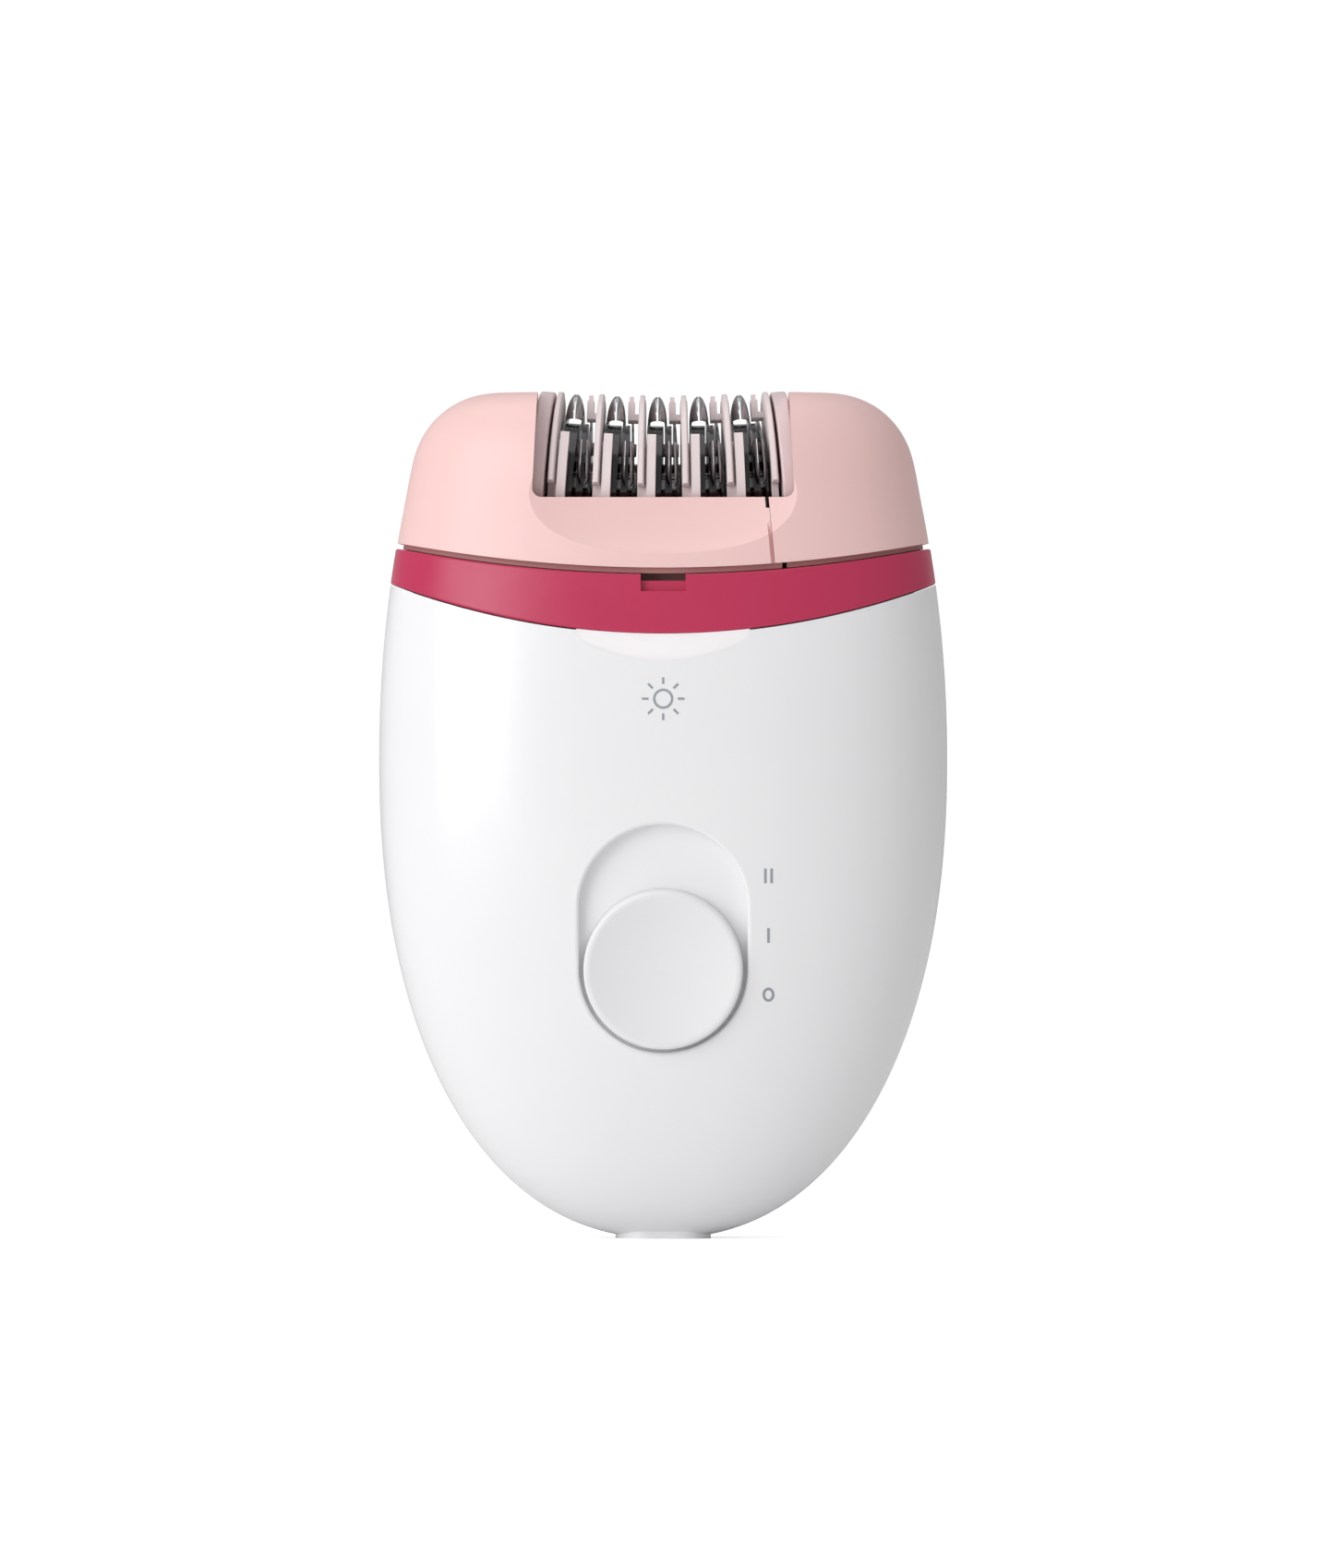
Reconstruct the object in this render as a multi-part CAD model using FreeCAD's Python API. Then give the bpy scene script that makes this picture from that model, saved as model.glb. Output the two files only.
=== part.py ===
import FreeCAD, Part
import math
import os

# Epilator: an egg-shaped body with a slide switch, a light window and a lift-off head.
# The front faces -Y, the head is at the top (+Z) and the origin is under the middle of the socket pad.
# Twenty-one discs turn on one bent axle in the head. The bend tilts each disc a little more than the
# one before it, so the steel blades meet at the top and stand apart at the front as they come round.

V = FreeCAD.Vector
os.makedirs("parts", exist_ok=True)

# ---- driving dimensions, millimetres and degrees ----
HEIGHT = 110.0
BELLY_Z = 62.6            # height of the widest section
BELLY_HALF_WIDTH = 37.0
BELLY_FRONT = 19.0        # depth in front of and behind the parting plane
BELLY_BACK = 22.0
EGG_POWER = 2.23          # superellipse power of the body's lower outline
PLAN_POWER = 2.45         # superellipse power of every level section
WIDTH_TAPER = 79.7        # virtual height over which the upper body would close
FRONT_TAPER = 52.0
BACK_TAPER = 40.0
WALL = 2.0
GAP = 0.15                # visible joint line between mouldings

BODY_LINE = (78.5, 85.1, 35.4)     # arc's height in the middle and at the side, and its half span
COLLAR_LINE = (86.2, 89.75, 34.9)
CAP_LINE = (87.05, 90.4, 34.6)

CAP_FOOT_Z = 90.4
CAP_FOOT = (34.62, 16.5, 16.5)     # half width, front and back of the cap at its foot
CAP_LEAN = (0.19, 0.10, 0.10)      # how far each of those leans in per millimetre of height
CAP_TOP = (20.5, 7.0, 7.0)         # the flat top's half width, front and back
CAP_ROUND_Z = (100.0, 98.0, 98.0)  # where the rounding over the shoulders starts
CAP_ROUND_POWER = 2.4
CAP_WALL = 1.6

ROTOR_Z = 97.6            # height of the bent axle at mid width
BLADE_TIP = 12.0
DIVIDER_TIP = 12.1
DRUM_TIP = 12.0
WINDOW_HALF = 17.0        # half width of the window at its lip
WINDOW_TOP_HALF = 16.3
LIP_FRONT_Z = 96.2
LIP_BACK_Z = 99.5
LIP_CORNER = 1.2
SPLIT = ((13.4, 96.2), (14.2, 87.6))   # slit between the cap and its gear cover, as (x, z) points
SPLIT_WIDTH = 0.5
TONGUE_TOP = 94.8         # the cap closes the slit from behind below this height
TONGUE_DEPTH = 0.7
ROTOR_ROOM = 12.5         # radius of the hollow round the discs

DISC_PITCH = 5.62         # from one divider to the next
UNITS = 5
DIVIDER_TILT = 1.88       # extra tilt of each divider over the one before it
CLOSING_ANGLE = 125.0     # where the blades meet: from the front (0) over the top (90) to the back
BLADE_ROW = 19.0          # middle of the front row of blades
BASE_RADIUS = 8.4         # plain part of a steel disc
HUB_RADIUS = 8.1          # the boss that spaces a disc from its right neighbour
HUB_SHORT = 0.15          # a boss is this much shorter than both blades reach over
BLADE_FOOT = 8.5          # a blade curves over between this radius and its tip
STEEL = 0.3
PINCH_GAP = 0.05          # between two blades that have met
LEFT_STEEL = (0.77, -0.7)     # distance after its divider and extra tilt
MID_STEEL = (3.18, 1.1)
RIGHT_STEEL = (4.55, 3.35)
DRUM = (15.83, 5.3, 1.95)     # place along the axle, tilt and width of an end drum
AXLE_RADIUS = 1.9
BORE_RADIUS = 2.0
STUB_RADIUS = 1.5
BEND_END = 17.1           # the axle runs straight beyond this

GEAR_X = 20.0             # inner face of the head's gears
GEAR_WIDTH = 2.4
BIG_GEAR_X = 24.4
HEAD_MODULE = 0.7
MOTOR_MODULE = 0.5
DRIVE_TEETH = 22
IDLER_TEETH = 16
SMALL_TEETH = 12
BIG_TEETH = 33
PINION_TEETH = 12
PRESSURE = math.radians(25)

CLOSE = V(0, -math.cos(math.radians(CLOSING_ANGLE)), math.sin(math.radians(CLOSING_ANGLE)))
BEND_RADIUS = DISC_PITCH / math.radians(DIVIDER_TILT)
STUB = BEND_RADIUS * (1 - math.cos(BEND_END / BEND_RADIUS))
GEAR_Y = STUB * CLOSE.y
DRIVE_Z = ROTOR_Z + STUB * CLOSE.z
IDLER_Z = DRIVE_Z - HEAD_MODULE * (DRIVE_TEETH + IDLER_TEETH) / 2
COMPOUND_Z = IDLER_Z - HEAD_MODULE * (IDLER_TEETH + SMALL_TEETH) / 2
MOTOR_Z = COMPOUND_Z - MOTOR_MODULE * (BIG_TEETH + PINION_TEETH) / 2

KNOB_Z = 35.1
KNOB_RADIUS = 10.3
KNOB_TRAVEL = 7.9
RECESS_RADIUS = 10.87
RECESS_DEPTH = 2.2
MOTOR_RADIUS = 12.0
MOTOR_X = (-18.0, 12.0)
DECK_Z = (80.2, 81.8)
PLUG_Z = 82.3             # underside of the head's plug
PLUG_TOP = 90.0           # the body's section here sets the plug's size
PLUG_LEVELS = (80.0, 84.0, 88.0, 92.0, 96.0)
FLOOR_Z = (83.0, 84.4)    # the head's floor
PLATES = {"left": (-19.7, -18.5), "inner": (18.5, 19.7), "outer": (22.8, 24.0)}
HEAD_SCREW_X = 28.3
HEAD_SCREW_Y = 2.0
DECK_SCREWS = ((-20.5, 9.0), (10.0, 9.0))
CHASSIS_SCREWS = ((-20.5, 57.0), (21.0, 57.0))
LATCH_Z = 85.0


# ---- outlines ----
def body_size(z, inset=0.0):
    """Half width, front and back depth of the body at height z, each taken in by inset."""
    full = (BELLY_HALF_WIDTH - inset, BELLY_FRONT - inset, BELLY_BACK - inset)
    if z <= BELLY_Z:
        drop = (BELLY_Z - z) / (BELLY_Z - inset)
        share = max(0.0, 1 - drop ** EGG_POWER) ** (1 / EGG_POWER)
        return tuple(share * f for f in full)
    rise = z - BELLY_Z
    tapers = (WIDTH_TAPER, FRONT_TAPER, BACK_TAPER)
    return tuple(f * math.sqrt(1 - (rise / t) ** 2) for f, t in zip(full, tapers))


def cap_size(z, inset=0.0):
    """Half width, front and back depth of the head's cap at height z."""
    top = HEIGHT - inset
    found = []
    for foot, lean, flat, start in zip(CAP_FOOT, CAP_LEAN, CAP_TOP, CAP_ROUND_Z):
        side = foot - inset - lean * (z - CAP_FOOT_Z)
        climb = max(0.0, (z - start) / (top - start))
        share = max(0.0, 1 - climb ** CAP_ROUND_POWER) ** (1 / CAP_ROUND_POWER)
        found.append(flat + (side - flat) * share)
    return tuple(found)


def section(z, size, count=32):
    """A closed superellipse at height z whose front and back have their own depths."""
    half_width, front, back = size
    points = []
    for i in range(count):
        t = 2 * math.pi * (i + 3) / count     # the seam stays clear of every cut
        c, s = math.cos(t), math.sin(t)
        x = math.copysign(half_width * abs(c) ** (2 / PLAN_POWER), c)
        y = math.copysign((back if s > 0 else front) * abs(s) ** (2 / PLAN_POWER), s)
        points.append(V(x, y, z))
    curve = Part.BSplineCurve()
    curve.interpolate(Points=points, PeriodicFlag=True, Parameters=[float(i) for i in range(count + 1)])
    return Part.Wire([curve.toShape()])


def loft(levels, size, inset=0.0):
    return Part.makeLoft([section(z, size(z, inset)) for z in levels], True, False)


def egg_levels(inset=0.0, top=93.0):
    """Heights from the bottom up, close together where the outline turns quickly."""
    low = [inset + (BELLY_Z - inset) * (1 - math.cos(math.radians(a)) ** (2 / EGG_POWER))
           for a in (7, 12, 18, 25, 33, 42, 52, 63, 76)]
    step = (top - BELLY_Z) / 4
    return low + [BELLY_Z + step * i for i in range(5)]


def cap_levels(inset=0.0):
    """Heights of the cap's sections up to its flat top."""
    top = HEIGHT - inset
    low = [84.0, 88.0, 92.0, 96.0]
    start = 98.0
    climbs = [math.sin(math.radians(a)) for a in (12, 24, 36, 47, 57, 66, 74, 81, 86)]
    return low + [start + (top - start) * c for c in climbs] + [top]


def box(x, y, z):
    """A box from three (low, high) pairs."""
    return Part.makeBox(x[1] - x[0], y[1] - y[0], z[1] - z[0], V(x[0], y[0], z[0]))


def above(line):
    """All that lies above a smile-shaped line, as one big cylinder across the body."""
    middle, side, span = line
    rise = side - middle
    radius = (span ** 2 + rise ** 2) / (2 * rise)
    return Part.makeCylinder(radius, 100, V(0, -50, middle + radius), V(0, 1, 0))


def rod(radius, x, y, z, bore=0.0):
    """A round bar along X, hollow if it has a bore."""
    bar = Part.makeCylinder(radius, x[1] - x[0], V(x[0], y, z), V(1, 0, 0))
    if bore:
        bar = bar.cut(Part.makeCylinder(bore, x[1] - x[0], V(x[0], y, z), V(1, 0, 0)))
    return bar


def fuse(shapes):
    return shapes[0].multiFuse(shapes[1:]).removeSplitter() if len(shapes) > 1 else shapes[0]


def soften(shape, radius, wanted):
    """Rounds the edges that wanted picks, one by one where all at once fails."""
    edges = [e for e in shape.Edges if wanted(e)]
    try:
        rounded = shape.makeFillet(radius, edges)
        if rounded.isValid() and rounded.Volume > 0:
            return rounded
    except Exception:
        pass
    print("  a fillet of", radius, "was left out on", len(edges), "edges")
    return shape


def keep(name, shape):
    """Writes one node's STEP and says how large it is."""
    solids = shape.Solids
    ok = shape.isValid() and len(solids) > 0
    shape = Part.makeCompound(solids) if len(solids) > 1 else solids[0]
    shape.exportStep("parts/" + name + ".step")
    print(f"{name}: {len(solids)} solid(s), {shape.Volume:.1f} mm3, valid {ok}")


# ---- switch frame: u along X, v up the face, w out of it ----
def switch_frame():
    """Placement of the slide switch on the sloping front."""
    y = -body_size(KNOB_Z)[1]
    low, high = -body_size(KNOB_Z - 4)[1], -body_size(KNOB_Z + 12)[1]
    up = V(0, high - low, 16).normalize()
    out = V(1, 0, 0).cross(up).normalize()
    matrix = FreeCAD.Matrix(1, up.x, out.x, 0, 0, up.y, out.y, y, 0, up.z, out.z, KNOB_Z, 0, 0, 0, 1)
    return FreeCAD.Placement(matrix), up


SWITCH, SLIDE_AXIS = switch_frame()


def on_switch(shape):
    shape = shape.copy()
    shape.Placement = SWITCH.multiply(shape.Placement)
    return shape


def stadium(radius, travel, depth, start=0.0):
    """A prism with round ends: it runs from the knob's centre up by travel."""
    low = V(0, 0, start)
    high = V(0, travel, start)
    ends = [Part.makeCylinder(radius, depth, p, V(0, 0, 1)) for p in (low, high)]
    middle = Part.makeBox(2 * radius, travel, depth, V(-radius, 0, start))
    return fuse([ends[0], ends[1], middle])


# ---- body mouldings ----
def body_solids():
    outer = loft(egg_levels(), body_size)
    inner = loft(egg_levels(WALL), lambda z, inset: body_size(z, inset), WALL)
    return outer, inner


BODY_OUTER, BODY_INNER = body_solids()
FRONT_SIDE = box((-60, 60), (-60, 0), (-5, 120))
BACK_SIDE = box((-60, 60), (0, 60), (-5, 120))
PAD = (6.2, 4.2)           # half sizes of the oval pad round the socket
SOCKET = (5.4, 3.5)        # half sizes of the socket insert
INLET = (4.5, 2.6, 9.0)    # half width, half depth and depth of the inlet's mouth
BOARD_POSTS = ((-9.0, 24.0), (9.0, 24.0), (-9.0, 47.0), (9.0, 47.0))


def oval(half_x, half_y, z, height):
    """An upright oval prism with round ends along X."""
    reach = half_x - half_y
    ends = [Part.makeCylinder(half_y, height, V(s * reach, 0, z)) for s in (-1, 1)]
    return fuse([ends[0], ends[1], Part.makeBox(2 * reach, 2 * half_y, height, V(-reach, -half_y, z))])


def lens_outline():
    """The light window's shape as a prism through the front: an arc below, upright ends, round corners."""
    half, low, radius, corner = 11.2, 75.0, 23.0, 1.8
    disc = Part.makeCylinder(radius, 20, V(0, -30, low + radius), V(0, 1, 0))
    blank = disc.common(box((-half, half), (-30, -10), (70, 84)))
    ends = [e for e in blank.Edges if abs(abs(e.CenterOfMass.x) - half) < 0.01 and e.CenterOfMass.z < 79
            and abs(e.tangentAt(e.FirstParameter).y) > 0.9]
    return blank.makeFillet(corner, ends)


def shells():
    """The front and rear housing halves, with the switch recess, the window's opening and the socket."""
    below = above((BODY_LINE[0] - GAP, BODY_LINE[1] - GAP, BODY_LINE[2]))
    pad = oval(PAD[0], PAD[1], 0, 4.5)
    outer = BODY_OUTER.fuse(pad).removeSplitter()
    skin = outer.cut(BODY_INNER).cut(below)
    skin = skin.cut(oval(SOCKET[0], SOCKET[1], -1, 8))
    front = skin.common(FRONT_SIDE)
    posts = [Part.makeCylinder(2.6, 30, V(x, 14.6, z), V(0, 1, 0)) for x, z in CHASSIS_SCREWS]
    posts += [Part.makeCylinder(2.2, 30, V(x, 6.2, z), V(0, 1, 0)) for x, z in BOARD_POSTS]
    rear = fuse([skin.common(BACK_SIDE)] + [p.common(BODY_OUTER) for p in posts])
    for x, z in CHASSIS_SCREWS:
        rear = rear.cut(Part.makeCylinder(1.1, 4.5, V(x, 14, z), V(0, 1, 0)))
    boss = on_switch(stadium(RECESS_RADIUS + 1.5, KNOB_TRAVEL, 14, -RECESS_DEPTH - 1.4))
    pocket = on_switch(stadium(RECESS_RADIUS, KNOB_TRAVEL, 14, -RECESS_DEPTH))
    slot = on_switch(Part.makeBox(4.4, KNOB_TRAVEL + 3.4, 30, V(-2.2, -1.7, -15)))
    front = front.fuse(boss.common(BODY_OUTER)).removeSplitter()
    front = front.cut(pocket).cut(slot)
    front = soften(front, 0.45, pocket_rim)
    front = front.cut(lens_outline())
    hatch = release_opening(0.25)
    return front, rear.cut(hatch)


def pocket_rim(edge):
    """True on the recess's mouth: outside the floor, on the pocket's wall."""
    local = SWITCH.inverse().multVec(edge.CenterOfMass)
    points = [SWITCH.inverse().multVec(edge.valueAt(p)) for p in
              (edge.FirstParameter, (edge.FirstParameter + edge.LastParameter) / 2, edge.LastParameter)]
    def off_wall(p):
        reach = max(0.0, p.y - KNOB_TRAVEL) if p.y > KNOB_TRAVEL else min(0.0, p.y)
        return abs(math.hypot(p.x, reach) - RECESS_RADIUS)
    on_wall = all(off_wall(p) < 0.02 for p in points)
    return on_wall and local.z > -RECESS_DEPTH + 0.3 and all(p.z > -RECESS_DEPTH + 0.3 for p in points)


def release_opening(clearance):
    """The rear button's outline as a prism along Y."""
    half_x, half_z, z = 7.0 + clearance, 3.2 + clearance, 73.0
    reach = half_x - half_z
    ends = [Part.makeCylinder(half_z, 30, V(s * reach, 8, z), V(0, 1, 0)) for s in (-1, 1)]
    return fuse([ends[0], ends[1], Part.makeBox(2 * reach, 30, 2 * half_z, V(-reach, 8, z - half_z))])


def collar():
    """The coloured band between the body and the head, with a latch notch in its upper edge."""
    band = BODY_OUTER.cut(BODY_INNER).common(above(BODY_LINE)).cut(above(COLLAR_LINE))
    band = soften(band, 0.3, lambda e: e.Length > 60 and abs(e.CenterOfMass.y) < 40 and outside(e))
    notch = box((-2.9, 2.9), (-30, -body_size(85)[1] + 0.9), (84.0, 90))
    slot = box((-2.9, 2.9), (-30, -10), (85.35, 90))
    return band.cut(notch).cut(slot)


def outside(edge):
    """True where an edge runs along the body's outer skin."""
    p = edge.valueAt((edge.FirstParameter + edge.LastParameter) / 2)
    half_width, front, back = body_size(p.z)
    depth = back if p.y > 0 else front
    return (abs(p.x) / half_width) ** PLAN_POWER + (abs(p.y) / depth) ** PLAN_POWER > 0.96


def deck():
    """The floor of the well that the head plugs into, with the gear slot and two screw holes."""
    plate = BODY_INNER.common(box((-60, 60), (-60, 60), DECK_Z))
    plate = plate.cut(box((19.2, 27.3), (GEAR_Y - 7.9, GEAR_Y + 7.9), (70, 90)))
    plate = plate.cut(box((-4.6, 4.6), (9.0, 14.4), (70, 90)))
    for x, y in DECK_SCREWS:
        plate = plate.cut(Part.makeCylinder(1.3, 6, V(x, y, 78)))
    return plate


def light_window():
    """The clear window, flush with the front, with a shelf behind the band."""
    skin = BODY_OUTER.cut(BODY_INNER).cut(above(BODY_LINE))
    inner = lens_outline()
    pane = skin.common(inner)
    pocket = box((-4.3, 4.3), (-16.2, -10), (76.9, 77.9))
    return pane.cut(pocket)


def light_parts():
    """The lamp behind the window and its board, which hangs from the deck."""
    board = box((-6, 6), (-13.05, -12.05), (73.0, DECK_Z[0]))
    lamp = Part.makeCylinder(1.5, 1.4, V(0, -13.2, 77.4), V(0, -1, 0))
    lamp = lamp.fuse(Part.makeSphere(1.5, V(0, -14.6, 77.4))).removeSplitter()
    return lamp, board


def socket_parts():
    """The socket insert with an oval mouth, and its two pins."""
    body = oval(SOCKET[0], SOCKET[1], 0, 8).fuse(box((-7.5, 7.5), (-3.5, 3.5), (7.2, 17))).removeSplitter()
    body = body.cut(oval(INLET[0], INLET[1], -1, INLET[2] + 1))
    pins = []
    for x in (-2.1, 2.1):
        pin = Part.makeCylinder(0.75, 16.2, V(x, 0, 4.2))
        pins.append(pin.makeFillet(0.4, [e for e in pin.Edges if e.CenterOfMass.z < 4.3 and e.Closed]))
        body = body.cut(Part.makeCylinder(0.75, 30, V(x, 0, 2)))
    return body, Part.makeCompound(pins)


# ---- motor and its gears ----
def gear(module, teeth, x, width, phase, bore):
    """A spur gear along X with a tooth at phase degrees from +Y towards +Z; a little thin, so it runs free."""
    pitch = module * teeth / 2
    base = pitch * math.cos(PRESSURE)
    tip, root = pitch + 0.85 * module, pitch - 1.2 * module
    involute = math.tan(PRESSURE) - PRESSURE
    half = math.pi / (2 * teeth) - 0.035 * module * 2 / pitch
    def half_at(r):
        if r <= base:
            return half + involute
        turn = math.acos(base / r)
        return half + involute - (math.tan(turn) - turn)
    radii = [root, max(base, root + 0.01), (base + pitch) / 2 + 0.1 * module, pitch + 0.2 * module, tip]
    radii = sorted(radii)
    points = []
    for i in range(teeth):
        middle = math.radians(phase) + 2 * math.pi * i / teeth
        flank = [(r, half_at(r)) for r in radii]
        for r, h in flank:
            points.append((r, middle - h))
        for r, h in reversed(flank):
            points.append((r, middle + h))
    ring = [V(x, r * math.cos(a), r * math.sin(a)) for r, a in points]
    face = Part.Face(Part.makePolygon(ring + [ring[0]]))
    return face.extrude(V(width, 0, 0)).cut(rod(bore, (x - 1, x + width + 1), 0, 0))


def at_gear(shape, z):
    shape = shape.copy()
    shape.translate(V(0, GEAR_Y, z))
    return shape


def motor_parts():
    """The can, its magnets, its rear cap and the armature with a long shaft for the pinion."""
    low, high = MOTOR_X
    can = rod(MOTOR_RADIUS, (low + 2, high), 0, 0)
    can = can.cut(rod(MOTOR_RADIUS - 1.1, (low + 1, high - 1.1), 0, 0))
    can = can.fuse(rod(3.0, (high - 0.5, high + 1.6), 0, 0)).cut(rod(1.1, (high - 3, high + 3), 0, 0))
    cap = rod(MOTOR_RADIUS, (low, low + 2), 0, 0).fuse(rod(MOTOR_RADIUS - 1.1, (low + 1, low + 3.5), 0, 0))
    cap = cap.cut(rod(MOTOR_RADIUS - 2.2, (low + 2, low + 4), 0, 0)).cut(rod(1.1, (low + 0.8, low + 5), 0, 0))
    ring = rod(MOTOR_RADIUS - 1.1, (low + 6, high - 4), 0, 0, MOTOR_RADIUS - 3.0)
    magnets = ring.cut(box((-40, 40), (-3.2, 3.2), (-20, 20)))
    shaft = rod(1.0, (low + 1.0, BIG_GEAR_X + GEAR_WIDTH + 0.6), 0, 0)
    core = rod(MOTOR_RADIUS - 3.4, (low + 8, high - 6), 0, 0)
    for i in range(3):
        slot = box((-40, 40), (-0.9, 0.9), (4.5, 20))
        slot.rotate(V(0, 0, 0), V(1, 0, 0), 120 * i + 30)
        core = core.cut(slot)
    armature = fuse([shaft, core, rod(2.8, (low + 4.2, low + 8.5), 0, 0),
                     rod(2.0, (high - 6.5, high - 2.5), 0, 0)])
    return [at_gear(s, MOTOR_Z) for s in (can.removeSplitter(), magnets, cap.removeSplitter(), armature)]


def gears():
    """Pinion, compound gear, idler and drive gear, each with a tooth or a gap where it meets the next."""
    pinion = gear(MOTOR_MODULE, PINION_TEETH, BIG_GEAR_X, GEAR_WIDTH, 90 + 180 / PINION_TEETH, 1.0)
    small = gear(HEAD_MODULE, SMALL_TEETH, GEAR_X, GEAR_WIDTH, 90, 1.3)
    neck = rod(2.9, (GEAR_X + GEAR_WIDTH, BIG_GEAR_X), 0, 0, 1.3)
    big = gear(MOTOR_MODULE, BIG_TEETH, BIG_GEAR_X, GEAR_WIDTH - 0.2, -90, 1.3)
    compound = fuse([small, neck, big])
    idler = gear(HEAD_MODULE, IDLER_TEETH, GEAR_X, GEAR_WIDTH, 90 + 180 / IDLER_TEETH, 1.3)
    drive = gear(HEAD_MODULE, DRIVE_TEETH, GEAR_X, GEAR_WIDTH, -90, STUB_RADIUS + 0.1)
    hub = rod(4.0, (DRUM[0] + 1.6, GEAR_X + 0.2), 0, 0, STUB_RADIUS + 0.1)
    drive = drive.fuse(hub).removeSplitter()
    return (at_gear(pinion, MOTOR_Z), at_gear(compound, COMPOUND_Z), at_gear(idler, IDLER_Z),
            at_gear(drive, DRIVE_Z))


def chassis():
    """The inner frame: a back plate, two cradle rings for the motor and the gear axle's two cheeks."""
    ends = [x for x, z in CHASSIS_SCREWS]
    plate = box((ends[0] - 3, ends[1] + 3), (13.0, 14.6), (52.0, DECK_Z[0]))
    parts = [plate]
    for x in (-14.0, 6.0):
        ring = rod(MOTOR_RADIUS + 1.4, (x, x + 3), GEAR_Y, MOTOR_Z)
        parts.append(ring.common(box((-30, 30), (GEAR_Y, 14), (40, 90))))
    parts.append(box((17.0, 18.6), (GEAR_Y - 3, 13.5), (COMPOUND_Z - 4, DECK_Z[0])))
    parts.append(box((27.4, 28.8), (GEAR_Y - 3, 11.5), (COMPOUND_Z - 4, COMPOUND_Z + 4)))
    parts.append(box((17.0, 28.8), (10.2, 11.5), (COMPOUND_Z - 4, COMPOUND_Z + 4)))
    for x, y in DECK_SCREWS:
        parts.append(Part.makeCylinder(2.6, DECK_Z[0] - 75.6, V(x, y, 75.6)))
        parts.append(box((x - 0.8, x + 0.8), (y, 13.5), (75.6, DECK_Z[0])))
    ledges = [box(x, (11.9, 13.0), (70.4, 72.8)) for x in ((-6.5, -3.8), (3.8, 6.5))]
    frame = fuse(parts).cut(rod(MOTOR_RADIUS, (-25, 16.5), GEAR_Y, MOTOR_Z))
    frame = frame.cut(rod(1.2, (16, 30), GEAR_Y, COMPOUND_Z))
    for x, y in DECK_SCREWS:
        frame = frame.cut(Part.makeCylinder(1.1, 10, V(x, y, 76)))
    for x, z in CHASSIS_SCREWS:
        frame = frame.cut(Part.makeCylinder(1.1, 10, V(x, 10, z), V(0, 1, 0)))
    return frame.cut(box((-5.2, 5.2), (12, 16), (66, 90))).fuse(ledges)


def screw(base, axis, length, radius=1.1, head=2.0, thick=1.2):
    """A pan-head screw: its head sits on base and its shank runs along axis."""
    axis = V(*axis)
    shank = Part.makeCylinder(radius, length, base, axis)
    cap = Part.makeCylinder(head, thick, base - axis * thick, axis)
    outer_rims = [e for e in cap.Edges if e.Closed and (e.CenterOfMass - base).Length > thick / 2]
    cap = cap.makeFillet(0.45, outer_rims)
    side = V(1, 0, 0) if abs(axis.x) < 0.5 else V(0, 0, 1)
    other = axis.cross(side)
    bars = []
    for a, b in ((side, other), (other, side)):
        corner = base - axis * (thick + 0.2) - a * 1.1 - b * 0.22
        far = corner + a * 2.2
        wire = Part.makePolygon([corner, far, far + b * 0.44, corner + b * 0.44, corner])
        bars.append(Part.Face(wire).extrude(axis * 0.8))
    return fuse([shank, cap]).cut(bars[0]).cut(bars[1])


def board_parts():
    """The control board on the rear shell's posts, with its parts, and the switch block on its front."""
    board = box((-13, 13), (4.6, 6.2), (19, 50.2))
    bits = [box((3, 9), (2.6, 4.7), (21, 27)), box((-10, -4), (3.4, 4.7), (46.5, 50)),
            Part.makeCylinder(3.1, 9, V(-6.5, 1.6, 20.5)), box((-10, -3), (1.5, 4.7), (20.5, 29.5)).cut(
                box((-10.2, -2.8), (1.4, 3.0), (20, 30))), box((6, 9), (3.0, 4.7), (33, 38))]
    block = box((-5, 5), (-1.5, 4.6), (33, 45.5)).cut(box((-2, 2), (-2, 0.8), (34, 44.5)))
    return fuse([board] + bits), block


def switch_parts():
    """The dished round knob with its neck, and the carrier behind the slot that works the switch block."""
    top, low = 0.7, -RECESS_DEPTH + 0.15
    knob = Part.makeCylinder(KNOB_RADIUS, top - low, V(0, 0, low), V(0, 0, 1))
    dish_depth, dish_rim = 1.1, 9.5
    dish_radius = (dish_rim ** 2 + dish_depth ** 2) / (2 * dish_depth)
    rims = [e for e in knob.Edges if e.Closed and e.CenterOfMass.z > top - 0.1]
    knob = knob.makeFillet(0.5, rims)
    knob = knob.cut(Part.makeSphere(dish_radius, V(0, 0, top - dish_depth + dish_radius)))
    neck = Part.makeBox(3.8, 2.8, 2.4, V(-1.9, -1.4, low - 2.2))
    knob = knob.fuse(neck).removeSplitter()
    carrier = Part.makeBox(12, 10, 1.2, V(-6, -5, low - 3.2))
    carrier = carrier.cut(Part.makeBox(3.8, 2.8, 3, V(-1.9, -1.4, low - 3.4)))
    finger = Part.makeBox(2.6, 1.6, 9.0, V(-1.3, 4.6 - 1.6, low - 12))
    return on_switch(knob), on_switch(carrier.fuse(Part.makeBox(3.8, 2.8, 1.0, V(-1.9, -1.4, low - 3.2)))
                                      .fuse(finger).removeSplitter())


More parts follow.
